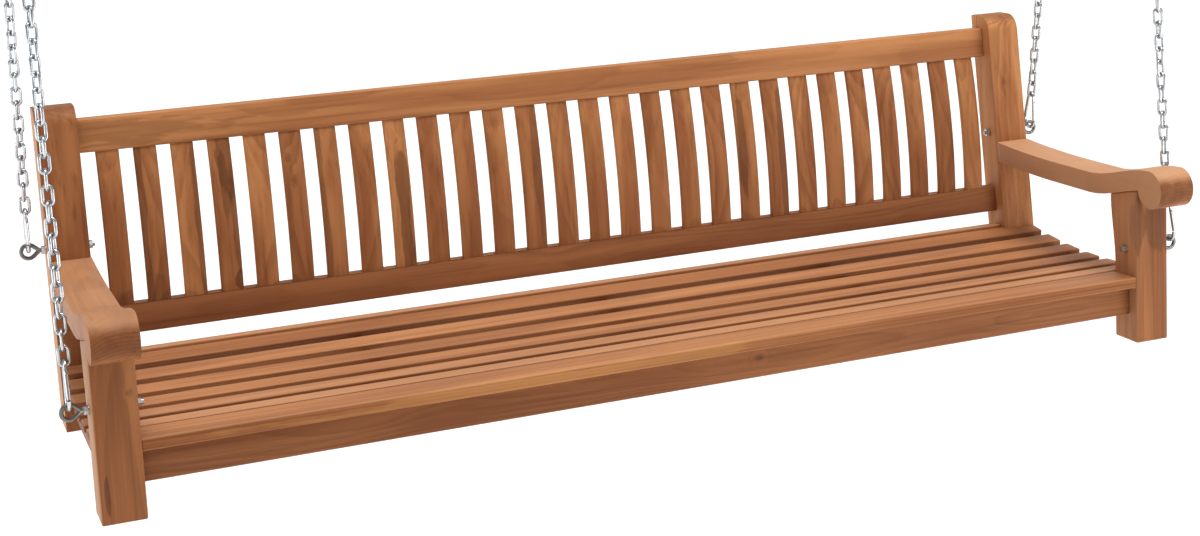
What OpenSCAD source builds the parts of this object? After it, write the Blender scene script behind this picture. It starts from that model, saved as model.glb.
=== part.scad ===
// Slatted timber porch swing: a long bench that hangs from four chains.
// X runs along the bench, +Y points to its back and Z up. The origin is in the middle of the four
// hanger plates, level with their upper faces. Everything is first drawn with the feet of the front
// legs at Z = 0 and their front faces at Y = 0, and then moved so that the hangers are at the origin.

/* [Frame] */
// Clear width between the two ends of the frame
clear_w = 1842; // [1500:4:2100]
// Width of the legs and posts, along the bench
stile_w = 70; // [60:1:80]
// Depth of a front leg at its foot
leg_depth = 70; // [60:1:76]
// Depth of a back post
post_depth = 65; // [58:1:76]
// Height of the top of the back posts
post_top = 577; // [540:1:620]
// Backward lean of the back posts, in degrees
post_lean = 7.1; // [4:0.1:10]

/* [Seat] */
// Width of a seat slat
seat_slat_w = 45; // [36:1:50]
// Distance from one seat slat to the next
seat_pitch = 69; // [66:0.5:70]
// Thickness of a seat slat
seat_slat_t = 14; // [12:1:18]
// Height of the lowest point of the scooped seat
seat_low = 117.2; // [105:0.1:125]
// Thickness of the front board
board_t = 21; // [16:1:24]

/* [Back] */
// Width of a back slat
back_slat_w = 40; // [30:1:48]
// Thickness of a back slat
back_slat_t = 11; // [8:1:14]
// Forward bow of a back slat between the rails
back_bow = 9; // [0:1:14]

/* [Arms] */
// Overhang of an armrest on each side of its leg
arm_overhang = 1.5; // [0:0.5:6]
// Thickness of an armrest
arm_t = 40; // [32:1:44]
// Radius of the scroll at the front of an armrest
scroll_r = 36; // [32:1:40]

/* [Hardware] */
// Wire diameter of a chain link
link_d = 5.5; // [4.5:0.1:6]
// Inside length of a chain link
link_in = 25; // [24:0.5:30]
// Inside width of a chain link
link_gap = 9.5; // [8:0.5:12]
// Links in a front chain
front_links = 24; // [20:2:30]
// Links in a rear chain
rear_links = 18; // [14:2:24]
// Backward lean of the front chains, in degrees
front_lean = 4; // [0:0.5:8]
// Forward lean of the rear chains, in degrees
rear_lean = 9.5; // [4:0.5:12]
// Wire diameter of the eye bolts, snap hooks and hanger eyes
wire_d = 7; // [6:0.5:8]

/* [Hidden] */
SIDES = [["left", -1], ["right", 1]];
BACK_SLATS = 28;
SEAT_SLATS = 6;
BEARERS = [["left", -1], ["centre", 0], ["right", 1]];
SLAT_PAIRS = [for (i = [1:2:BACK_SLATS]) str("back_slats_", i, "_", i + 1)];

TEAK = [0.62, 0.37, 0.22];
PALE_TEAK = [0.72, 0.47, 0.31];
ZINC = [0.76, 0.78, 0.80];
STEEL = [0.45, 0.43, 0.41];

fine = 48;
gap = 0.3;                              // running gap between metal parts that touch
lap = 1;                                // how far a solid reaches into the one that it joins
spare = 20;                             // how far a cutting shape passes what it cuts
inner_x = clear_w / 2;                  // inner face of the legs and posts
outer_x = inner_x + stile_w;            // outer face of the legs and posts

// Back posts and the two back rails that stand between them
lean = tan(post_lean);
post_foot_z = 22;
post_front_y = 442;                     // front face of the posts at Z = 0
post_round = 34;
post_ease = 3;                          // chamfer at the back of a post's top
tenon_l = 24;
shoulder = 7;                           // from the faces of a rail to its tenon
edge_shoulder = 9;                      // from the lower and upper edge of a rail to its tenon
rail_inset = 27;                        // rails stand this far behind the post's front face
rail_t = 27;
top_rail = [493, 551];                  // lower and upper edge, measured up the post
bottom_rail = [169, 220];
slat_inset = 2;                         // slats stand this far behind the rail's front face
slat_tenon = 10;
end_gap_ratio = 1.17;                   // the gap beside a post against the gap between slats
back_gap = (clear_w - BACK_SLATS * back_slat_w) / (BACK_SLATS - 1 + 2 * end_gap_ratio);
back_pitch = back_slat_w + back_gap;

// Seat
slat_end_x = outer_x - 1;
seat_back_y = 470;                      // rear edge of the last slat
scoop = 3.78e-4;                        // curvature of the seat
scoop_y = 235;                          // where the seat is lowest
board_back_y = 71;
board_front_y = 2;
board_nose = 3.5;
board_fall = 2;                         // how far the board falls towards its back
board_top = 128.6;
rail_foot_z = 52;
apron_y = 23.5;
apron_t = 28;
rear_rail_y = 475;
rear_rail_t = 22;
rear_rail_top = 142;
side_rail_x = outer_x - 43;
side_rail_t = 28;
side_shoulder = 8;                      // from the faces of a side rail to its tenons
side_tenon_z = [10, 40];                // its tenons, up from its lower edge
bearer_t = 30;
bearer_x = inner_x * 0.52;
slat_seat_gap = 0.6;                    // the slats stand this far off the rails, on their screws
screw_d = 4;
screw_head_d = 8;
screw_head_t = 2;
screw_l = 32;
screw_bite = 9;                         // how far a screw goes into its slat

// Armrests
arm_dip_z = 308;
arm_dip_y = 262;
arm_back_rise = 6;
scroll_y = -42;
scroll_z = 304;
arm_mid_y = 150;                        // where the arm starts to rise to its scroll
arm_under_y = 6;                        // where its underside meets the scroll
arm_run = 80;                           // how far it is drawn past the post's front face, before the trim
arm_skin = 4;                           // the leg stops this far below the arm's top
scroll_span = [96, 350];                // angles between which the scroll is round
arm_tenon_l = 28;                       // its tenon in the post
arm_tenon_side = 18;
arm_tenon_down = [28, 6];               // lower and upper edge, down from the arm's lowest point
leg_swell = 14;                         // how far the back of a leg swells under the arm
leg_swell_z = [140, 280];
leg_tenon = [34, 40, 22];               // width, depth, and height above the arm's underside
leg_tenon_back = 4;                     // it stands this far behind the middle of the foot
leg_tenon_root = 30;

// Eye bolts
eye_r = 12;
eye_reach = 29.5;                       // from the leg's outer face to the middle of the eye
bolt_d = 8;
nut_af = 13;
nut_t = 6.5;
washer_d = 15;
washer_t = 1.6;
bolt_tip = 4;
neck_clear = 2.8;                       // between an eye's neck and its nut
neck = eye_reach - washer_t - nut_t - neck_clear;   // from the middle of an eye to the tip of its neck
neck_lean = asin(eye_r / neck);
neck_l = sqrt(pow(neck, 2) - pow(eye_r, 2));
neck_lap = 3;
eye_y = [35, 516];                      // front and rear eye bolts
eye_z = [178, 333];
hang_x = outer_x + eye_reach;

// Snap hooks, drawn up from the wire that they hang on
hook_r = 17;
hook_top_r = 8.5;
hook_span = 68;                         // outside height without the two wire thicknesses
hook_tip = 182;                         // angle from +Y at which its open end stops
hook_low_z = wire_d / 2 + gap + wire_d / 2;
hook_mid_z = hook_r - hook_low_z;
hook_top_z = hook_mid_z - hook_r + hook_span + wire_d - hook_top_r;
hook_side = asin((hook_r - hook_top_r) / (hook_top_z - hook_mid_z));
hook_side_l = sqrt(pow(hook_top_z - hook_mid_z, 2) - pow(hook_r - hook_top_r, 2));
gate_d = 6.4;
gate_pivot = 7;                         // from the start of the hook's straight side
gate_tail = 1.5;                        // how far the gate passes the end of the straight side
tongue_t = 2.6;
tongue_w = 5.2;
gate_slot = 3.2;
slot_past = 5;                          // how far the gate's slot passes its pivot
pin_d = 2;
pin_short = 0.4;                        // a pin is this much shorter than the gate is wide
pin_play = 0.1;                         // running fit of a gate on its pin
spine_extra = 0.3;                      // the straight spine of a hook is a little stouter than its bends
rear_slack = 3.2;                       // play of a rear hook in its eye bolt

// Chains: the places of the links, up from the wire that the hook hangs on
link_step = link_in - gap;
first_link_z = hook_top_z + hook_top_r - wire_d / 2 - gap + link_in / 2;
link_r = (link_gap + link_d) / 2;
chain_twist = 34;                       // degrees that a chain's slow twist reaches
function hang_length(links) = first_link_z + (links - 1) * link_step + link_in / 2 - gap - wire_d / 2;
front_hang = hang_length(front_links);
rear_hang = hang_length(rear_links) - rear_slack;
front_top = [eye_y[0] + front_hang * sin(front_lean), eye_z[0] + eye_r + front_hang * cos(front_lean)];
rear_top = [eye_y[1] - rear_hang * sin(rear_lean), eye_z[1] + eye_r + rear_hang * cos(rear_lean)];

// Hanger plates, all with their tops in one level plane
hanger_r = 13;
plate = [34, 80, 4];
staple_leg = 10;                        // shortest straight leg of a staple
plate_z = max(front_top[1], rear_top[1]) + hanger_r + staple_leg;
plate_hole_d = 7;
plate_holes = 56;

// Where the origin is in the frame that everything is drawn in
hangers_at = [0, (front_top[0] + rear_top[0]) / 2, plate_z + plate[2]];

// ---------- shared shapes ----------

function arc(centre, r, from, to, steps) =
    [for (i = [0:steps]) let (a = from + (to - from) * i / steps) centre + r * [cos(a), sin(a)]];

function smooth(t) = let (u = min(max(t, 0), 1)) u * u * (3 - 2 * u);

function seat_z(y) = seat_low + scoop * pow(y - scoop_y, 2);

function slat_y(i) = seat_back_y - (i - 1) * seat_pitch;

// Top of the armrest: a shallow dip, then a rise onto the scroll
function arm_z(y) =
    arm_dip_z
    + arm_back_rise * pow(max(y - arm_dip_y, 0) / (post_front_y - arm_dip_y), 2)
    + (scroll_z + scroll_r - arm_dip_z) * smooth((arm_mid_y - y) / (arm_mid_y - scroll_y));

function post_y(z) = post_front_y + lean * z;

// A side profile, drawn in Y and Z, as a solid between two places along X
module across(x0, x1) {
    translate([x0, 0, 0]) rotate([90, 0, 90]) linear_extrude(x1 - x0) children();
}

module flip(side) {
    mirror([side < 0 ? 1 : 0, 0, 0]) children();
}

// Moves a sub-part to its place under the hangers; those drawn at the right end also go to the left
module placed(side = 1) {
    translate(-hangers_at) flip(side) children();
}

// A box given by its lower and upper corner
module block(low, high) {
    translate(low) cube(high - low);
}

// ---------- timber frame ----------

module arm_blank(x0, x1) {
    steps = 22;
    back_y = post_front_y + arm_run;
    top = [for (i = [0:steps]) let (y = back_y + (scroll_y - back_y) * i / steps) [y, arm_z(y)]];
    roll = arc([scroll_y, scroll_z], scroll_r, scroll_span[0], scroll_span[1], steps);
    under = [for (i = [0:steps]) let (y = arm_under_y + (back_y - arm_under_y) * i / steps)
        [y, arm_z(y) - arm_t]];
    across(x0, x1) polygon(concat(top, roll, under));
}

module leg_tenon_block() {
    middle = [inner_x + stile_w / 2, leg_depth / 2 + leg_tenon_back, arm_z(leg_depth / 2) - arm_t];
    block(middle - [leg_tenon[0] / 2, leg_tenon[1] / 2, leg_tenon_root],
        middle + [leg_tenon[0] / 2, leg_tenon[1] / 2, leg_tenon[2]]);
}

module arm_tenon_block() {
    block([inner_x + arm_tenon_side, post_front_y - spare, arm_dip_z - arm_tenon_down[0]],
        [outer_x - arm_tenon_side, post_y(arm_dip_z) + arm_tenon_l, arm_dip_z - arm_tenon_down[1]]);
}

module post_blank() {
    top_front = [post_y(post_top), post_top];
    round_at = [post_y(post_top - post_round) + post_round / cos(post_lean), post_top - post_round];
    across(inner_x, outer_x) polygon(concat(
        [[post_y(post_foot_z), post_foot_z]],
        arc(round_at, post_round, 180 - post_lean, 90, 10),
        [top_front + [post_depth - post_ease, 0],
            [post_y(post_top - post_ease) + post_depth, post_top - post_ease],
            [post_y(post_foot_z) + post_depth, post_foot_z]]
    ));
}

// A box that leans with the posts: distances behind their front face, heights and places along X
module leaning_block(x, behind, z) {
    across(x[0], x[1]) polygon([
        for (c = [[0, 0], [1, 0], [1, 1], [0, 1]]) [post_y(z[c[1]]) + behind[c[0]], z[c[1]]]
    ]);
}

module rail_tenon(z) {
    leaning_block([inner_x - lap, inner_x + tenon_l], [rail_inset + shoulder, rail_inset + rail_t - shoulder],
        [z[0] + edge_shoulder, z[1] - edge_shoulder]);
}

module side_rail_tenons() {
    x = [side_rail_x + side_shoulder, side_rail_x + side_rail_t - side_shoulder];
    z = [rail_foot_z + side_tenon_z[0], rail_foot_z + side_tenon_z[1]];
    block([x[0], leg_depth - tenon_l, z[0]], [x[1], leg_depth + lap, z[1]]);
    block([x[0], post_front_y - lap, z[0]], [x[1], post_front_y + tenon_l, z[1]]);
}

module seat_rail_tenon(y, t, top) {
    block([inner_x - lap, y + shoulder, rail_foot_z + edge_shoulder],
        [inner_x + tenon_l, y + t - shoulder, top - edge_shoulder]);
}

module front_leg() {
    back = [for (i = [0:10]) let (z = leg_swell_z[0] + (leg_swell_z[1] - leg_swell_z[0]) * i / 10)
        [leg_depth + leg_swell * smooth((z - leg_swell_z[0]) / (leg_swell_z[1] - leg_swell_z[0])), z]];
    top_y = leg_depth + leg_swell;
    color(TEAK) difference() {
        across(inner_x, outer_x) polygon(concat([[0, 0], [leg_depth, 0]], back,
            [[top_y, arm_z(top_y) - arm_skin], [0, arm_z(0) - arm_skin]]));
        difference() {
            arm_blank(inner_x - spare, outer_x + spare);
            leg_tenon_block();
        }
        side_rail_tenons();
        seat_rail_tenon(apron_y, apron_t, board_top - board_t);
        bolt_hole(0);
    }
}

module back_post() {
    color(TEAK) difference() {
        post_blank();
        rail_tenon(top_rail);
        rail_tenon(bottom_rail);
        side_rail_tenons();
        seat_rail_tenon(rear_rail_y, rear_rail_t, rear_rail_top);
        arm_tenon_block();
        bolt_hole(1);
    }
}

module armrest() {
    color(TEAK) difference() {
        arm_blank(inner_x - arm_overhang, outer_x + arm_overhang);
        difference() {
            leaning_block([inner_x - spare, outer_x + spare], [0, arm_run + post_depth],
                [arm_dip_z - 2 * arm_t, arm_dip_z + 2 * arm_t]);
            arm_tenon_block();
        }
        leg_tenon_block();
    }
}

module back_rail(z) {
    color(TEAK) difference() {
        union() {
            leaning_block([-inner_x, inner_x], [rail_inset, rail_inset + rail_t], z);
            for (s = SIDES) flip(s[1]) rail_tenon(z);
        }
        for (i = [1:BACK_SLATS]) back_slat(i);
    }
}

module cross_rail(y, t, top) {
    color(TEAK) {
        block([-inner_x, y, rail_foot_z], [inner_x, y + t, top]);
        for (s = SIDES) flip(s[1]) seat_rail_tenon(y, t, top);
    }
}

// Outline of a rail that carries the slats: its top follows the underside of the seat between y0 and
// y1, and front lists the corners of its front end
module scooped_profile(y0, y1, front) {
    steps = 14;
    polygon(concat([[y1, rail_foot_z]], front,
        [for (i = [0:steps]) let (y = y0 + (y1 - y0) * i / steps) [y, seat_z(y) - seat_slat_t - slat_seat_gap]]));
}

module seat_side_rail() {
    back_top = rear_rail_top + 2 * spare;
    color(TEAK) difference() {
        union() {
            side_rail_tenons();
            difference() {
                across(side_rail_x, side_rail_x + side_rail_t)
                    scooped_profile(leg_depth, post_y(back_top), [[leg_depth, rail_foot_z]]);
                leaning_block([side_rail_x - lap, outer_x], [0, post_depth], [0, back_top]);
            }
        }
        screw_holes(side_rail_x + side_rail_t / 2);
    }
}

// ---------- seat ----------

module seat_bearer(place) {
    x = place * bearer_x;
    color(TEAK) difference() {
        across(x - bearer_t / 2, x + bearer_t / 2) scooped_profile(board_back_y + lap, rear_rail_y, [
            [apron_y + apron_t, rail_foot_z],
            [apron_y + apron_t, board_top - board_t],
            [board_back_y + lap, board_top - board_t]]);
        screw_holes(x);
    }
}

// One slat, tilted to lie along the scoop of the seat
module seat_slat_blank(i) {
    back = [slat_y(i), seat_z(slat_y(i))];
    front = [slat_y(i) - seat_slat_w, seat_z(slat_y(i) - seat_slat_w)];
    tilt = atan2(back[1] - front[1], back[0] - front[0]);
    down = seat_slat_t * [sin(tilt), -cos(tilt)];
    across(-slat_end_x, slat_end_x) polygon([back, front, front + down, back + down]);
}

module seat_slat(i) {
    color(PALE_TEAK) difference() {
        seat_slat_blank(i);
        if (i == 1) for (s = SIDES) flip(s[1])
            leaning_block([inner_x, outer_x + spare], [0, post_depth + spare], [rail_foot_z, rear_rail_top + spare]);
        slat_screws(i);
    }
}

module board_profile() {
    polygon(concat(
        arc([board_front_y + board_nose, board_top - board_nose], board_nose, 180, 90, 6),
        [[board_back_y, board_top - board_fall], [board_back_y, board_top - board_t]],
        arc([board_front_y + board_nose, board_top - board_t + board_nose], board_nose, 270, 180, 6)
    ));
}

module seat_front_board() {
    color(PALE_TEAK) across(-inner_x, inner_x) board_profile();
}

// A screw from a rail or bearer at x up into slat i
module seat_screw(x, i) {
    translate(screw_head(x, i)) {
        cylinder(d = screw_d, h = screw_l, $fn = fine);
        cylinder(d = screw_head_d, h = screw_head_t, $fn = fine);
    }
}

function screw_head(x, i) =
    let (y = slat_y(i) - seat_slat_w / 2)
    [x, y, seat_z(y) - seat_slat_t + screw_bite - screw_l];

// The screws' holes in the rail or bearer at x, with the counterbores that their heads go up
module screw_holes(x) {
    for (i = [1:SEAT_SLATS]) {
        head = screw_head(x, i);
        translate(head) cylinder(d = screw_d, h = screw_l, $fn = fine);
        translate([x, head[1], rail_foot_z - lap])
            cylinder(d = screw_head_d, h = head[2] + screw_head_t - rail_foot_z + lap, $fn = fine);
    }
}

function screw_places() = concat(
    [for (s = SIDES) s[1] * (side_rail_x + side_rail_t / 2)], [for (b = BEARERS) b[1] * bearer_x]);

module slat_screws(i) {
    for (x = screw_places()) seat_screw(x, i);
}

module seat_screws() {
    color(STEEL) for (i = [1:SEAT_SLATS]) slat_screws(i);
}

// ---------- back slats ----------

function bow_y(z) =
    let (t = (z - bottom_rail[1]) / (top_rail[0] - bottom_rail[1]))
    post_y(z) + rail_inset + slat_inset - 4 * back_bow * t * (1 - t);

module back_slat(i) {
    steps = 10;
    x = (i - (BACK_SLATS + 1) / 2) * back_pitch;
    z0 = bottom_rail[1] - slat_tenon;
    z1 = top_rail[0] + slat_tenon;
    heights = [for (k = [0:steps]) z0 + (z1 - z0) * k / steps];
    across(x - back_slat_w / 2, x + back_slat_w / 2) polygon(concat(
        [for (z = heights) [bow_y(z), z]],
        [for (k = [steps:-1:0]) [bow_y(heights[k]) + back_slat_t, heights[k]]]
    ));
}

module back_slat_pair(first) {
    color(TEAK) for (i = [first, first + 1]) back_slat(i);
}

// ---------- eye bolts, nuts and washers ----------

module along_x(x, end) {
    translate([x, eye_y[end], eye_z[end]]) rotate([0, 90, 0]) children();
}

module bolt_hole(end) {
    along_x(inner_x - lap, end) cylinder(d = bolt_d, h = stile_w + 2 * lap, $fn = fine);
}

// A bolt whose end is bent to a pear-shaped eye: end is 0 for a front one and 1 for a rear one
module eye_bolt(end) {
    tip_x = inner_x - washer_t - nut_t - bolt_tip;
    bend = acos(eye_r / neck);
    color(STEEL) {
        along_x(tip_x, end) cylinder(d = bolt_d, h = hang_x - neck + neck_lap - tip_x, $fn = fine);
        translate([hang_x, eye_y[end], eye_z[end]]) rotate([90, 0, 0]) {
            rotate_extrude(angle = 360 - 2 * bend, start = 180 + bend, $fn = fine)
                translate([eye_r, 0]) circle(d = wire_d, $fn = 32);
            for (s = [-1, 1]) translate([-neck, 0, 0]) rotate([0, 90, s * neck_lean])
                cylinder(d = wire_d + spine_extra, h = neck_l + lap, $fn = 32);
        }
    }
}

module hex_nut(x, end) {
    along_x(x, end) difference() {
        rotate(30) cylinder(d = nut_af / cos(30), h = nut_t, $fn = 6);
        translate([0, 0, -lap]) cylinder(d = bolt_d, h = nut_t + 2 * lap, $fn = fine);
    }
}

module washer(x, end) {
    along_x(x, end) difference() {
        cylinder(d = washer_d, h = washer_t, $fn = fine);
        translate([0, 0, -lap]) cylinder(d = bolt_d, h = washer_t + 2 * lap, $fn = fine);
    }
}

module hex_nuts() {
    color(ZINC) for (s = SIDES, end = [0, 1]) placed(s[1]) {
        hex_nut(outer_x + washer_t, end);
        hex_nut(inner_x - washer_t - nut_t, end);
    }
}

module washers() {
    color(ZINC) for (s = SIDES, end = [0, 1]) placed(s[1]) {
        washer(outer_x, end);
        washer(inner_x - washer_t, end);
    }
}

// ---------- chains and snap hooks ----------

// Places what is drawn up from the hook's wire: leaned about the top of the eye, and slack if rear
module hung(end) {
    translate([hang_x, eye_y[end], eye_z[end] + eye_r])
        rotate([end == 0 ? -front_lean : rear_lean, 0, 0])
            translate([0, 0, -end * rear_slack]) children();
}

// A stretch of round wire bent to radius r in the Y-Z plane, between two angles from +Y
module bent_wire(z, r, from, to) {
    translate([0, 0, z]) rotate([90, 0, 90])
        rotate_extrude(angle = to - from, start = from, $fn = fine) translate([r, 0]) circle(d = wire_d, $fn = 32);
}

// Along the straight side of a hook, from its top: side is 1 for the spine and -1 for the gate
module down_side(side) {
    translate([0, side * hook_top_r * cos(hook_side), hook_top_z + hook_top_r * sin(hook_side)])
        rotate([180 + side * hook_side, 0, 0]) children();
}

module gate_axis(length, d) {
    down_side(-1) translate([-length / 2, 0, gate_pivot]) rotate([0, 90, 0])
        cylinder(d = d, h = length, $fn = fine);
}

module snap_hook(end) {
    color(ZINC) hung(end) difference() {
        union() {
            bent_wire(hook_mid_z, hook_r, hook_tip, 360 + hook_side);
            bent_wire(hook_top_z, hook_top_r, hook_side, 180 - hook_side);
            down_side(1) translate([0, 0, -lap])
                cylinder(d = wire_d + spine_extra, h = hook_side_l + 2 * lap, $fn = 32);
            down_side(-1) translate([-tongue_t / 2, -tongue_w / 2, -lap / 2])
                cube([tongue_t, tongue_w, gate_pivot + tongue_w / 2]);
        }
        gate_axis(spare, pin_d);
    }
}

module hook_gate(end) {
    length = hook_side_l + gate_tail - gate_pivot;
    color(ZINC) hung(end) difference() {
        down_side(-1) translate([0, 0, gate_pivot]) intersection() {
            union() {
                cylinder(d = gate_d, h = length, $fn = 32);
                sphere(d = gate_d, $fn = 32);
            }
            block([-gate_d, -gate_d, -gate_d], [gate_d, gate_d, length]);
        }
        down_side(-1) translate([-gate_slot / 2, -gate_d, -lap])
            cube([gate_slot, 2 * gate_d, gate_pivot + slot_past + lap]);
        gate_axis(spare, pin_d + pin_play);
    }
}

module gate_pins(end) {
    color(STEEL) for (s = SIDES) placed(s[1]) hung(end) gate_axis(gate_d - pin_short, pin_d);
}

module chain_link() {
    straight = link_in - 2 * (link_r - link_d / 2);
    for (turn = [0, 180]) rotate([0, turn, 0]) {
        translate([0, 0, straight / 2]) rotate([90, 0, 0])
            rotate_extrude(angle = 180, $fn = 32) translate([link_r, 0]) circle(d = link_d, $fn = 24);
        translate([link_r, 0, -straight / 2]) cylinder(d = link_d, h = straight, $fn = 24);
    }
}

// The chain hangs with a slow twist, which is zero at both ends
module chain(end) {
    links = end == 0 ? front_links : rear_links;
    color(ZINC) hung(end) for (i = [0:links - 1])
        translate([0, 0, first_link_z + i * link_step])
            rotate([0, 0, 90 * i + chain_twist * sin(360 * i / (links - 1))]) chain_link();
}

module hanger_plate(end) {
    top = end == 0 ? front_top : rear_top;
    leg = plate_z - top[1] - hanger_r;
    translate([hang_x, top[0], top[1] + hanger_r]) {
        rotate([90, 0, 0]) rotate_extrude(angle = 180, start = 180, $fn = fine)
            translate([hanger_r, 0]) circle(d = wire_d, $fn = 32);
        for (s = [-1, 1]) translate([s * hanger_r, 0, 0]) cylinder(d = wire_d, h = leg, $fn = 32);
        difference() {
            translate([-plate[0] / 2, -plate[1] / 2, leg]) cube(plate);
            for (s = [-1, 1]) translate([0, s * plate_holes / 2, leg - lap])
                cylinder(d = plate_hole_d, h = plate[2] + 2 * lap, $fn = fine);
        }
    }
}

module hanger_plates() {
    color(ZINC) for (s = SIDES, end = [0, 1]) placed(s[1]) hanger_plate(end);
}

// ---------- the nodes ----------

for (s = SIDES) {
    placed(s[1]) front_leg();
    placed(s[1]) back_post();
    placed(s[1]) armrest();
    placed(s[1]) seat_side_rail();
    placed(s[1]) eye_bolt(0);
    placed(s[1]) eye_bolt(1);
    placed(s[1]) chain(0);
    placed(s[1]) chain(1);
    placed(s[1]) snap_hook(0);
    placed(s[1]) snap_hook(1);
    placed(s[1]) hook_gate(0);
    placed(s[1]) hook_gate(1);
}
for (b = BEARERS)
    placed() seat_bearer(b[1]);
for (i = [1:SEAT_SLATS])
    placed() seat_slat(i);
for (i = [1:2:BACK_SLATS])
    placed() back_slat_pair(i);
placed() back_rail(top_rail);  // back_top_rail
placed() back_rail(bottom_rail);  // back_bottom_rail
placed() cross_rail(apron_y, apron_t, board_top - board_t);  // seat_front_rail
placed() cross_rail(rear_rail_y, rear_rail_t, rear_rail_top);  // seat_rear_rail
placed() seat_front_board();
placed() seat_screws();
gate_pins(0);  // gate_pins_front
gate_pins(1);  // gate_pins_rear
hex_nuts();
washers();
hanger_plates();
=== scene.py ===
import math

import bmesh
import bpy
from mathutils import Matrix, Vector


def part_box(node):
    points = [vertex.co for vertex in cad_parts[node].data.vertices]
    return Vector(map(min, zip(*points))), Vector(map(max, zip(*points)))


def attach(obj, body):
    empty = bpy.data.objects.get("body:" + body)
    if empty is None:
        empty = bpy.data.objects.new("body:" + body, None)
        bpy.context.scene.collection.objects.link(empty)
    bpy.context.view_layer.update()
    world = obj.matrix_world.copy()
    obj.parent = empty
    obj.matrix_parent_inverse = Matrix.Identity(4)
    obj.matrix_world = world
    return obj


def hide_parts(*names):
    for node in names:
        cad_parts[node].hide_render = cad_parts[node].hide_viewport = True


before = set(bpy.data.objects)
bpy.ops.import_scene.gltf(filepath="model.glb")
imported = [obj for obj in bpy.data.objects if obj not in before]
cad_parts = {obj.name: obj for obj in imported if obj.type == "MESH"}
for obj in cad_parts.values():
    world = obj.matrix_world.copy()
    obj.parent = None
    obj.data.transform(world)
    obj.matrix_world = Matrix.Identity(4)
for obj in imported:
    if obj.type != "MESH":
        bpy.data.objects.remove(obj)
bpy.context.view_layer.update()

# ---------- camera ----------

# Where the camera stands from the middle of the hanger plates, in metres, and how it is turned
CAMERA_AT = (-1.2969, -3.3278, 0.2267)
CAMERA_TURN = (81.083, 2.393, -23.430)
FOCAL_MM = 60.278
SENSOR_MM = 36.0
SHIFT = (-0.0712, -0.1450)


def add_camera():
    data = bpy.data.cameras.new("camera")
    data.lens = FOCAL_MM
    data.sensor_width = SENSOR_MM
    data.shift_x, data.shift_y = SHIFT
    camera = bpy.data.objects.new("camera", data)
    camera.location = CAMERA_AT
    camera.rotation_euler = [math.radians(a) for a in CAMERA_TURN]
    bpy.context.scene.collection.objects.link(camera)
    bpy.context.scene.camera = camera


add_camera()

# ---------- sizes, from the frame ----------

BENCH = "bench"
SLATS = 2 * sum(name.startswith("back_slats_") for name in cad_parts)
EASE = 0.003            # rounding of the timber's long edges
SLAT_EASE = 0.0032
ARM_EASE = 0.006
SHORTEST = 0.0035       # an edge shorter than this is the rim of a small hole, and stays sharp


def corners(node):
    low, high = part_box(node)
    return Vector(low), Vector(high)


def middle(node):
    low, high = corners(node)
    return (low + high) / 2


# ---------- materials ----------

TEAK_LIGHT = (0.430, 0.172, 0.061)
TEAK_MID = (0.285, 0.098, 0.033)
TEAK_DARK = (0.100, 0.026, 0.007)
# Colour of dark stains and knots, and of the painted shadows
STAIN_AND_SHADOW = (0.060, 0.016, 0.005)
SAPWOOD = (0.50, 0.225, 0.070)
# Colour of worn arrises, and of the painted highlight, sheen and light on the arrises and on the faces that
# look up or to the left
WEAR_AND_PAINTED_LIGHT = (0.54, 0.290, 0.155)
WHITE = (1.0, 1.0, 1.0)
RINGS_PER_METRE = 170.0
WANDER = 0.075          # how far the rings stray over half a metre or so
RIPPLE_WANDER = 0.006   # and over a hand's length
END_GRAIN = 0.45        # how much darker wood is where the grain ends
WORN_AND_HIGHLIGHT_PALE = 0.14        # how pale its arrises are, with wear and a painted highlight
SHEEN = 0.13            # of the oil
PORE_DEPTH = 0.0004
KNOT_PUSH = 0.008       # how far the rings bend aside round a knot
LEAN = math.tan(math.radians(7.1))      # of the posts and the back slats, and so of their grain
GRAIN_ORDER = {"X": (0, 1, 2), "Y": (1, 0, 2), "Z": (2, 0, 1)}


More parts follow.
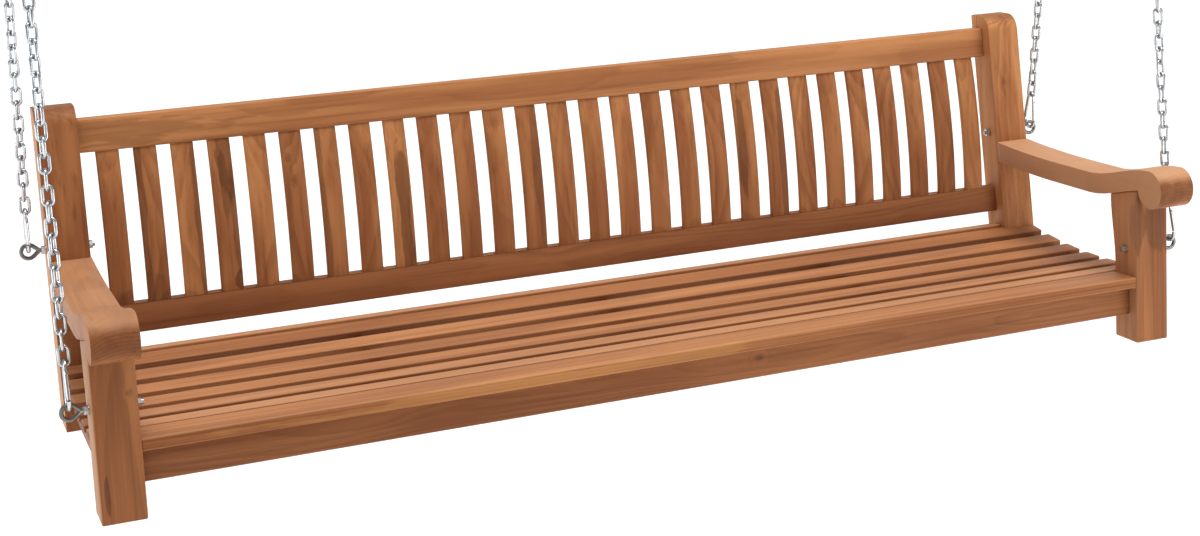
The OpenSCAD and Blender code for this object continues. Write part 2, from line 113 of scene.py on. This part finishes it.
class Graph:
    """A material's nodes, added one at a time."""

    def __init__(self, name):
        self.material = bpy.data.materials.new(name)
        self.material.use_nodes = True
        self.tree = self.material.node_tree
        self.tree.nodes.clear()

    def add(self, kind, **settings):
        made = self.tree.nodes.new(kind)
        for key, value in settings.items():
            setattr(made, key, value)
        return made

    def put(self, socket, value):
        if isinstance(value, bpy.types.NodeSocket):
            self.tree.links.new(value, socket)
        else:
            socket.default_value = value

    def math(self, operation, a, b=0.0, clamp=False):
        made = self.add("ShaderNodeMath", operation=operation, use_clamp=clamp)
        self.put(made.inputs[0], a)
        self.put(made.inputs[1], b)
        return made.outputs[0]

    def vector(self, operation, a, b):
        made = self.add("ShaderNodeVectorMath", operation=operation)
        self.put(made.inputs[0], a)
        self.put(made.inputs[1], b)
        return made.outputs["Vector"]

    def length(self, vector):
        made = self.add("ShaderNodeVectorMath", operation="LENGTH")
        self.put(made.inputs[0], vector)
        return made.outputs["Value"]

    def joined(self, x, y, z):
        made = self.add("ShaderNodeCombineXYZ")
        for socket, value in zip(made.inputs, (x, y, z)):
            self.put(socket, value)
        return made.outputs[0]

    def noise(self, vector, scale, detail=3.0, roughness=0.5):
        made = self.add("ShaderNodeTexNoise")
        self.put(made.inputs["Vector"], vector)
        self.put(made.inputs["Scale"], scale)
        self.put(made.inputs["Detail"], detail)
        self.put(made.inputs["Roughness"], roughness)
        return made.outputs["Fac"]

    def spread(self, value, low, high, to_low=0.0, to_high=1.0, smooth=True):
        made = self.add("ShaderNodeMapRange", interpolation_type="SMOOTHSTEP" if smooth else "LINEAR")
        for socket, given in zip(made.inputs, (value, low, high, to_low, to_high)):
            self.put(socket, given)
        return made.outputs["Result"]

    def mix(self, factor, a, b, blend="MIX"):
        made = self.add("ShaderNodeMix", data_type="RGBA", blend_type=blend)
        self.put(made.inputs[0], factor)
        self.put(made.inputs[6], (*a, 1.0) if isinstance(a, tuple) else a)
        self.put(made.inputs[7], (*b, 1.0) if isinstance(b, tuple) else b)
        return made.outputs[2]

    def place(self):
        return self.add("ShaderNodeTexCoord").outputs["Object"]

    def facing(self, axis):
        """How squarely the surface faces one way along an axis of the piece, -1 to 1."""
        parts = self.add("ShaderNodeSeparateXYZ")
        self.put(parts.inputs[0], self.add("ShaderNodeTexCoord").outputs["Normal"])
        return parts.outputs[axis]

    def bump(self, height, strength, distance):
        made = self.add("ShaderNodeBump")
        self.put(made.inputs["Height"], height)
        self.put(made.inputs["Strength"], strength)
        self.put(made.inputs["Distance"], distance)
        return made.outputs["Normal"]

    def finish(self, **values):
        shader = self.add("ShaderNodeBsdfPrincipled")
        for key, value in values.items():
            self.put(shader.inputs[key.replace("_", " ")], value)
        output = self.add("ShaderNodeOutputMaterial")
        self.tree.links.new(shader.outputs[0], output.inputs["Surface"])
        return self.material


# Marks the arrises, which are paled with wear and a painted highlight
def arris_wear_and_highlight(g):
    """How far a point is out on an arris, 0 to 1."""
    return g.spread(g.add("ShaderNodeNewGeometry").outputs["Pointiness"], 0.51, 0.60)


def reach(g, spot):
    """Distance from the middle of a spot, 1 at its edge. A spot is its centre, its radii and how
    strongly it shows."""
    centre, radii, _ = spot
    away = g.vector("SUBTRACT", g.place(), tuple(centre))
    return g.length(g.vector("DIVIDE", away, tuple(radii)))


def around(g, value, size):
    """A noise's swing about nothing: size is how far it goes from its lowest to its highest."""
    return g.math("MULTIPLY", g.math("SUBTRACT", value, 0.5), size)


# Each noise in the wood: its scale along the grain and across it, its detail and its roughness
DRIFT = (1.6, 9.0, 2.0, 0.5)
BAND = (1.3, 34.0, 2.0, 0.5)
RIPPLE = (7.0, 45.0, 3.0, 0.5)
STREAK = (2.6, 130.0, 4.0, 0.6)
FIBRE = (38.0, 1300.0, 2.0, 0.5)
GNARL_SCALE = 170.0
YEAR_SCALE = 55.0
SEED_STEP = 1.37        # how many metres a seed of 1 moves the noises along the grain


class Wood:
    """The patterns of one piece: places along and across its grain, and the noises that follow them."""

    def __init__(self, g, grain, centre, seed):
        self.g, self.centre, self.seed, self.axes = g, centre, seed, GRAIN_ORDER[grain]
        parts = g.add("ShaderNodeSeparateXYZ")
        g.put(parts.inputs[0], g.place())
        self.along, across, through = (parts.outputs[i] for i in self.axes)
        self.across = g.math("SUBTRACT", across, centre[self.axes[1]])
        self.through = g.math("SUBTRACT", through, centre[self.axes[2]])
        self.long_way = g.math("ADD", self.along, seed * SEED_STEP)
        self.drift, self.band, self.ripple, self.streak, self.fibre = (
            self.stretched(*noise) for noise in (DRIFT, BAND, RIPPLE, STREAK, FIBRE))
        self.end_grain = g.spread(g.math("ABSOLUTE", g.facing(self.axes[0])), 0.55, 0.95)

    def stretched(self, lengthwise, crosswise, detail, roughness):
        g = self.g
        place = g.joined(g.math("MULTIPLY", self.long_way, lengthwise),
                         g.math("MULTIPLY", self.across, crosswise),
                         g.math("MULTIPLY", self.through, crosswise))
        return g.noise(place, 1.0, detail, roughness)

    def radius(self, pith, tilt, knots):
        """Distance from the heart of the tree, which the grain wanders about and bends round the knots."""
        g = self.g
        wander = g.math("ADD", around(g, self.drift, WANDER), around(g, self.ripple, RIPPLE_WANDER))
        for knot in knots:
            wander = g.math("ADD", wander, g.spread(reach(g, knot), 3.2, 0.4, 0.0, KNOT_PUSH))
        slope = g.math("MULTIPLY", g.math("SUBTRACT", self.along, self.centre[self.axes[0]]), tilt)
        across = g.math("ADD", g.math("SUBTRACT", self.across, pith[0]), wander)
        through = g.math("ADD", g.math("SUBTRACT", self.through, pith[1]), slope)
        return g.length(g.joined(across, through, 0.0))

    def rings(self, radius):
        """Late wood of the year rings, and the same with its strength varied from year to year."""
        g = self.g
        ring = g.math("FRACT", g.math("MULTIPLY", radius, RINGS_PER_METRE))
        late = g.math("MULTIPLY", g.spread(ring, 0.15, 0.90), g.spread(ring, 1.0, 0.90))
        year = g.noise(g.joined(g.math("MULTIPLY", radius, YEAR_SCALE), self.seed, 0.0), 1.0, 2.0)
        return late, g.math("MULTIPLY", late, g.spread(year, 0.35, 0.72, 0.18, 0.85))

    def grained(self, figure):
        """The wood's own colour, before spots and weather."""
        g = self.g
        broad = g.math("ADD", around(g, self.drift, 0.9), around(g, self.band, 0.9))
        base = g.mix(g.spread(broad, -0.20, 0.20), TEAK_LIGHT, TEAK_MID)
        strength = g.spread(self.end_grain, 0.0, 1.0, 0.42, 0.50)
        base = g.mix(g.math("MULTIPLY", figure, strength), base, TEAK_DARK)
        base = g.mix(g.spread(self.streak, 0.50, 0.78, 0.0, 0.45), base, TEAK_DARK)
        base = g.mix(g.spread(self.streak, 0.46, 0.28, 0.0, 0.25), base, TEAK_LIGHT)
        return g.mix(g.spread(self.fibre, 0.60, 0.80, 0.0, 0.30), base, TEAK_DARK)

    def spotted(self, base, sap, stains, knots):
        """Adds sapwood, dark heartwood, painted shadows and knots."""
        g = self.g
        ragged = g.math("ADD", around(g, self.ripple, 2.2), around(g, self.streak, 0.9))
        gnarled = around(g, g.noise(g.place(), GNARL_SCALE, 3.0), 1.6)
        for spot in sap:
            edge = g.math("ADD", reach(g, spot), ragged)
            base = g.mix(g.spread(edge, 1.0, 0.6, 0.0, spot[2]), base, SAPWOOD)
        for spot in stains:
            edge = g.math("ADD", reach(g, spot), ragged)
            base = g.mix(g.spread(edge, 1.0, 0.82, 0.0, spot[2]), base, STAIN_AND_SHADOW)
        for knot in knots:
            edge = g.math("ADD", reach(g, knot), gnarled)
            base = g.mix(g.spread(edge, 1.3, 0.4, 0.0, knot[2]), base, STAIN_AND_SHADOW)
        return base

    def toned_worn_and_painted_light(self, base, tone, pale, outside, sides):
        """Sets the piece's tone and darkens its end grain. Paints shade on the faces that don't look up,
        a sheen on the faces that look up and light on those that look to the left, and pales its arrises
        with wear and a painted highlight. A dark tone is also a redder one."""
        g = self.g
        base = g.mix(1.0, base, (tone, tone ** 1.3, tone ** 1.4), "MULTIPLY")
        base = g.mix(g.math("MULTIPLY", self.end_grain, END_GRAIN), base, TEAK_DARK)
        # Painted shade: the faces that don't look up are darkened, for the shade between the seat slats
        shade = g.mix(g.spread(g.facing(2), 0.2, 0.7), sides, WHITE)
        base = g.mix(1.0, base, shade, "MULTIPLY")
        # Painted sheen on the faces that look up, and painted light on those that look to the left
        upward = g.spread(g.facing(2), 0.3, 0.9, 0.0, pale)
        painted_sheen_and_light = g.math("ADD", upward, g.spread(g.facing(0), -0.3, -0.9, 0.0, outside))
        # Arrises paled with wear and a painted highlight
        return g.mix(g.math("ADD", g.math("MULTIPLY", arris_wear_and_highlight(g), WORN_AND_HIGHLIGHT_PALE), painted_sheen_and_light, True), base, WEAR_AND_PAINTED_LIGHT)


def teak(name, grain, centre, seed, tone=1.0, pith=(0.05, 0.09), tilt=0.02, stains=(), knots=(), sap=(),
         pale=0.0, outside=0.0, sides=WHITE):
    """Oiled teak with its grain along one axis. pith is how far the heart lies from the middle of the
    piece, so a near one gives arched figure and a far one straight lines. pale is how strongly a painted
    sheen pales the faces that look up, the next argument how strongly painted light pales the faces that
    look to the left, and the last is the colour of the painted shade on the faces that don't look up."""
    g = Graph(name)
    wood = Wood(g, grain, centre, seed)
    late, figure = wood.rings(wood.radius(pith, tilt, knots))
    base = wood.spotted(wood.grained(figure), sap, stains, knots)
    base = wood.toned_worn_and_painted_light(base, tone, pale, outside, sides)
    relief = g.math("ADD", g.math("MULTIPLY", wood.fibre, 0.6), g.math("MULTIPLY", late, -0.4))
    return g.finish(Base_Color=base, Roughness=g.spread(wood.streak, 0.2, 0.8, 0.46, 0.60),
                    Specular_IOR_Level=SHEEN, Normal=g.bump(relief, 0.35, PORE_DEPTH))


METAL_EDGE = (0.20, 0.22, 0.24, 1.0)


def zinc(name, colour, rough, spots):
    """Plated steel: faint blotches, fine scratches and dull spots."""
    g = Graph(name)
    cloud = g.noise(g.place(), 90.0, 3.0)
    speck = g.noise(g.place(), 900.0, 2.0)
    dull = tuple(c * 0.62 for c in colour)
    base = g.mix(g.math("MULTIPLY", g.spread(cloud, 0.42, 0.7), spots), colour, dull)
    # Arrises paled with wear and a painted highlight
    base = g.mix(g.math("MULTIPLY", arris_wear_and_highlight(g), 0.3), base, (0.9, 0.9, 0.92))
    return g.finish(Base_Color=base, Metallic=1.0, Roughness=g.spread(cloud, 0.3, 0.7, rough, rough + 0.12),
                    Specular_Tint=METAL_EDGE, Normal=g.bump(speck, 0.06, 0.0002))


FLOOR_SHADE = 0.85


def floor_material():
    g = Graph("floor")
    cloud = g.noise(g.place(), 1.5, 2.0)
    base = g.mix(g.math("MULTIPLY", cloud, 0.15), (FLOOR_SHADE,) * 3, (FLOOR_SHADE * 0.97,) * 3)
    return g.finish(Base_Color=base, Roughness=0.85)


# ---------- pieces made from CAD nodes ----------


def islands(bm):
    """The separate solids of a mesh, each as a list of faces."""
    left = set(bm.faces)
    groups = []
    while left:
        group, queue = [], [left.pop()]
        while queue:
            face = queue.pop()
            group.append(face)
            for edge in face.edges:
                for other in edge.link_faces:
                    if other in left:
                        left.remove(other)
                        queue.append(other)
        groups.append(group)
    return groups


def solids(node):
    """Copies of a CAD node's solids as clean meshes, ordered along X."""
    bm = bmesh.new()
    bm.from_mesh(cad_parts[node].data)
    bmesh.ops.remove_doubles(bm, verts=bm.verts, dist=1e-6)
    copies = []
    for group in islands(bm):
        part = bmesh.new()
        made = {}
        for face in group:
            for vert in face.verts:
                if vert not in made:
                    made[vert] = part.verts.new(vert.co)
        for face in group:
            part.faces.new([made[v] for v in face.verts])
        copies.append(part)
    bm.free()
    return sorted(copies, key=lambda b: sum(v.co.x for v in b.verts) / len(b.verts))


def ease(bm, radius, shortest):
    """Rounds the arrises of a timber solid, but not the rims of its small holes."""
    flat = math.radians(0.8)
    bmesh.ops.dissolve_limit(bm, angle_limit=flat, verts=bm.verts, edges=bm.edges)
    sharp = [e for e in bm.edges if len(e.link_faces) == 2
             and e.calc_face_angle(0.0) > math.radians(35) and e.calc_length() > shortest]
    bmesh.ops.bevel(bm, geom=sharp, offset=radius, segments=3, profile=0.5, affect="EDGES",
                    clamp_overlap=True)


def add_piece(name, bm, material, body, nodes):
    mesh = bpy.data.meshes.new(name)
    bm.to_mesh(mesh)
    bm.free()
    mesh.materials.append(material)
    mesh.shade_smooth()
    mesh.set_sharp_from_angle(angle=math.radians(32))
    piece = bpy.data.objects.new(name, mesh)
    bpy.context.scene.collection.objects.link(piece)
    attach(piece, body)
    if nodes:
        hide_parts(*nodes)
    return piece


def timber(node, material, radius=EASE):
    for bm in solids(node):
        ease(bm, radius, SHORTEST)
        add_piece(node + ".wood", bm, material, BENCH, [node])


def plank(node, name, grain, seed, *look, slot="teak", radius=EASE, **extra):
    """A node's timber in its own teak."""
    timber(node, teak(name, grain, middle(node), seed, *look, **extra), radius)


def smooth_metal(node, body, material):
    for number, bm in enumerate(solids(node)):
        add_piece(f"{node}.{number}", bm, material, body, [node])


# ---------- timber ----------


# The knots, checks, stains and painted shadows below are spots, placed from the corners of their pieces


def make_legs():
    low, high = corners("front_leg_left")
    knot = (Vector((high.x - 0.013, low.y, low.z + 0.205)), (0.006, 0.03, 0.007), 0.35)
    check = (Vector((low.x + 0.012, low.y, low.z + 0.05)), (0.004, 0.03, 0.03), 0.6)
    # Painted light on the left faces of both legs
    plank("front_leg_left", "leg_left", "Z", 3.1, 0.98, (0.02, -0.11), 0.02,
          stains=[check], knots=[knot], outside=0.45)
    low, high = corners("front_leg_right")
    # A painted shadow of the armrest's scroll, darkening the top of the leg's front
    painted_scroll_shadow = (Vector((high.x - 0.022, low.y, high.z - 0.075)), (0.060, 0.03, 0.060), 0.42)
    plank("front_leg_right", "leg_right", "Z", 8.4, 0.92, (-0.015, -0.07), 0.03,
          stains=[painted_scroll_shadow], outside=0.2)


def make_posts():
    # Painted light on the left post's left face
    plank("back_post_left", "post_left", "Z", 5.2, 0.84, (0.04, 0.12), 0.004 - LEAN, outside=0.7)
    low, high = corners("back_post_right")
    knot = (Vector((low.x + 0.026, low.y + 0.06, high.z - 0.136)), (0.006, 0.08, 0.010), 0.4)
    plank("back_post_right", "post_right", "Z", 6.7, 1.30, (-0.05, 0.10), 0.006 - LEAN, knots=[knot])


def make_armrests():
    # Painted sheen on the armrests' tops, and painted light on their left faces
    plank("armrest_left", "arm_left", "Y", 2.3, 0.72, (0.01, -0.12), 0.02,
          pale=0.38, outside=0.4, radius=ARM_EASE)
    low, high = corners("armrest_right")
    scroll = (Vector(((low.x + high.x) / 2, low.y, low.z + 0.027)), (0.06, 0.02, 0.03), 0.25)
    plank("armrest_right", "arm_right", "Y", 9.9, 1.0, (0.01, -0.10), 0.02,
          stains=[scroll], pale=0.8, outside=0.65, radius=ARM_EASE)


def make_rails():
    low, high = corners("back_top_rail")
    # Painted shade darkening the left end of the top rail, set as a dark spot
    painted_left_end_shade = (Vector((low.x + 0.05, low.y, (low.z + high.z) / 2)), (0.22, 0.1, 0.026), 0.34)
    plank("back_top_rail", "top_rail", "X", 1.7, 1.24, (0.10, 0.02), 0.004, stains=[painted_left_end_shade])
    plank("back_bottom_rail", "bottom_rail", "X", 4.4, 0.76, (0.08, -0.03), 0.005)
    low, high = corners("seat_front_rail")
    knot = (Vector((high.x - 0.807, low.y, high.z - 0.020)), (0.010, 0.03, 0.006), 0.5)
    plank("seat_front_rail", "apron", "X", 7.5, 0.76, (-0.06, 0.01), 0.008, knots=[knot])
    # Painted sheen on the rear rail's top
    plank("seat_rear_rail", "rear_rail", "X", 3.6, 0.95, pale=0.5)
    for side in ("left", "right"):
        name = "seat_side_rail_" + side
        plank(name, name, "Y", 2.2, 0.85)
    for side in ("left", "centre", "right"):
        name = "seat_bearer_" + side
        plank(name, name, "Y", 6.1, 0.8)


# Tone of each seat slat, and how strongly a painted sheen pales its top, from the rear
SEAT_TONES = ((0.80, 0.10), (1.04, 0.18), (0.94, 0.16), (0.88, 0.20), (0.94, 0.38), (0.98, 0.48))
# Colour of the painted shade on the seat slats' faces that don't look up, for the shade in the gaps between
# them
SEAT_SHADE = (0.62, 0.52, 0.45)
SEAT_SEED = 2.9
BOARD_EASE = 0.0015


def make_seat():
    for number, (tone, pale) in enumerate(SEAT_TONES, 1):
        name = f"seat_slat_{number}"
        heart = (0.02 * (number % 3) - 0.02, -0.09)
        # Each slat's top gets a painted sheen, and its other faces painted shade
        plank(name, name, "X", number * SEAT_SEED, tone, heart, 0.008,
              pale=pale, sides=SEAT_SHADE, slot="weathered_teak")
    low, high = corners("seat_front_board")
    streak = (Vector((-0.27, low.y, low.z + 0.009)), (0.50, 0.012, 0.014), 0.45)
    # The front board's top gets a painted sheen
    plank("seat_front_board", "seat_front_board", "X", 5.5, 1.0, (-0.03, 0.08), 0.006,
          sap=[streak], pale=0.22, slot="weathered_teak", radius=BOARD_EASE)


BACK_TONE = 1.07
BACK_SEED = 3.7

# Tone of each back slat, from the left
SLAT_TONES = (0.94, 0.84, 1.00, 0.92, 1.04, 0.90, 0.96, 0.98, 1.02, 0.92, 0.88, 1.00, 0.98, 0.90,
              0.94, 1.04, 0.88, 1.00, 1.06, 0.92, 0.90, 1.02, 0.94, 1.06, 0.96, 1.00, 0.90, 1.04)


def slat_spot(low, high, across, up, half_width, half_height, strength):
    """A spot on a back slat: across and up are shares of its width and height."""
    centre = Vector((low.x + across * (high.x - low.x), low.y, low.z + up * (high.z - low.z)))
    return centre, (half_width, 0.1, half_height), strength


def slat_stains(number, low, high):
    """The few slats with dark heartwood. Each spot is as in slat_spot."""
    spots = {
        1: [(0.70, 0.05, 0.014, 0.022, 0.3)],
        2: [(0.10, 0.6, 0.007, 0.30, 0.4), (0.6, 0.08, 0.012, 0.03, 0.25)],
        3: [(0.95, 0.6, 0.008, 0.20, 0.45)],
        4: [(0.70, 0.86, 0.015, 0.085, 0.46), (0.55, 0.66, 0.008, 0.07, 0.45),
            (0.88, 0.46, 0.007, 0.08, 0.45), (0.85, 0.08, 0.012, 0.02, 0.6)],
        7: [(0.10, 0.5, 0.006, 0.30, 0.4)],
        9: [(0.58, 0.38, 0.013, 0.15, 0.55)],
        13: [(0.80, 0.5, 0.010, 0.20, 0.4)],
        20: [(0.25, 0.6, 0.010, 0.16, 0.5)],
        21: [(0.80, 0.4, 0.010, 0.18, 0.45)],
    }
    return [slat_spot(low, high, *spot) for spot in spots.get(number, [])]


def slat_knots(number, low, high):
    """The knots, on two slats."""
    spots = {
        1: [(0.45, 0.07, 0.010, 0.014, 0.3)],
        6: [(0.25, 0.80, 0.007, 0.010, 0.4), (0.45, 0.66, 0.007, 0.012, 0.35)],
    }
    return [slat_spot(low, high, *spot) for spot in spots.get(number, [])]


def make_back_slats():
    for first in range(1, SLATS, 2):
        node = f"back_slats_{first}_{first + 1}"
        for number, bm in enumerate(solids(node), first):
            low = Vector(min(v.co[i] for v in bm.verts) for i in range(3))
            high = Vector(max(v.co[i] for v in bm.verts) for i in range(3))
            # Each slat is sawn from another part of the log
            heart = ((number * 37 % 11 - 5) * 0.006, 0.03 + (number * 53 % 7) * 0.012)
            tone = BACK_TONE * SLAT_TONES[number - 1]
            wood = teak(f"slat_{number}", "Z", (low + high) / 2, number * BACK_SEED, tone, heart,
                        0.012 - LEAN, slat_stains(number, low, high), slat_knots(number, low, high))
            ease(bm, SLAT_EASE, SHORTEST)
            add_piece(f"back_slat_{number}", bm, wood, BENCH, [node])


# ---------- hardware ----------


def make_hardware():
    bright = zinc("bright_zinc", (0.60, 0.63, 0.65), 0.20, 0.5)
    dull = zinc("dull_steel", (0.22, 0.21, 0.20), 0.30, 0.6)
    for end, body in (("front", "front_chains"), ("rear", "rear_chains")):
        for side in ("left", "right"):
            smooth_metal(f"chain_{end}_{side}", body, bright)
            smooth_metal(f"snap_hook_{end}_{side}", body, bright)
            smooth_metal(f"hook_gate_{end}_{side}", f"gate_{end}_{side}", bright)
            smooth_metal(f"eye_bolt_{end}_{side}", BENCH, dull)
        smooth_metal(f"gate_pins_{end}", body, dull)
    smooth_metal("hex_nuts", BENCH, bright)
    smooth_metal("washers", BENCH, dull)
    smooth_metal("seat_screws", BENCH, dull)
    smooth_metal("hanger_plates", "hangers", bright)


# ---------- studio ----------

ROOM_FRONT, ROOM_BACK, ROOM_TOP = 0.10, 0.70, 0.60      # brightness
ROOM_EDGE = 0.8
SUN_FROM = (0.05, -0.14, 0.98)
SUN_POWER = 2.9
SUN_SPREAD = 40.0
RIGHT_AT = (2.3, -2.4, -0.7)
RIGHT_POWER = 26.0
LEFT_AT = (-3.2, 0.3, -0.3)
LEFT_POWER = 20.0
BOX_SIZE = 1.6
FLOOR_REACH = 60.0
FLOOR_DROP = 1.6        # from the feet down to the floor


def add_floor():
    bm = bmesh.new()
    bmesh.ops.create_grid(bm, x_segments=1, y_segments=1, size=FLOOR_REACH)
    mesh = bpy.data.meshes.new("floor")
    bm.to_mesh(mesh)
    bm.free()
    mesh.materials.append(floor_material())
    floor = bpy.data.objects.new("floor", mesh)
    feet, _ = corners("front_leg_left")
    floor.location = (0.0, 0.0, feet.z - FLOOR_DROP)
    bpy.context.scene.collection.objects.link(floor)


def room_ramp(tree, share, start, low, high):
    """Goes from low to high as a direction's share along an axis goes from start to ROOM_EDGE."""
    ramp = tree.nodes.new("ShaderNodeMapRange")
    tree.links.new(share, ramp.inputs["Value"])
    ramp.inputs["From Min"].default_value = start
    ramp.inputs["From Max"].default_value = ROOM_EDGE
    ramp.inputs["To Max"].default_value = high
    if isinstance(low, bpy.types.NodeSocket):
        tree.links.new(low, ramp.inputs["To Min"])
    else:
        ramp.inputs["To Min"].default_value = low
    return ramp.outputs["Result"]


def add_room():
    """A pale room: dim in front, where the camera stands, bright behind the bench and overhead."""
    world = bpy.data.worlds.new("studio")
    world.use_nodes = True
    tree = world.node_tree
    place = tree.nodes.new("ShaderNodeTexCoord")
    parts = tree.nodes.new("ShaderNodeSeparateXYZ")
    tree.links.new(place.outputs["Generated"], parts.inputs[0])
    behind = room_ramp(tree, parts.outputs["Y"], -0.6, ROOM_FRONT, ROOM_BACK)
    level = room_ramp(tree, parts.outputs["Z"], 0.0, behind, ROOM_TOP)
    tree.links.new(level, tree.nodes["Background"].inputs["Strength"])
    tree.nodes["Background"].inputs["Color"].default_value = (1.0, 1.0, 1.0, 1.0)
    bpy.context.scene.world = world


def add_light(name, kind, power, at, aim):
    data = bpy.data.lights.new(name, kind)
    data.energy = power
    lamp = bpy.data.objects.new(name, data)
    lamp.location = at
    lamp.rotation_euler = (Vector(aim) - Vector(at)).to_track_quat("-Z", "Y").to_euler()
    bpy.context.scene.collection.objects.link(lamp)
    return data


def add_lights():
    """A wide soft light overhead, and a softbox at each end of the bench."""
    sun = add_light("overhead", "SUN", SUN_POWER, SUN_FROM, (0.0, 0.0, 0.0))
    sun.angle = math.radians(SUN_SPREAD)
    for side, at, power in (("right", RIGHT_AT, RIGHT_POWER), ("left", LEFT_AT, LEFT_POWER)):
        box = add_light("softbox_" + side, "AREA", power, at, middle("armrest_" + side))
        box.size = BOX_SIZE


# ---------- the scene ---------------------


make_legs()
make_posts()
make_armrests()
make_rails()
make_seat()
make_back_slats()
make_hardware()
add_floor()
add_room()
add_lights()
bpy.context.scene.view_settings.view_transform = "Standard"
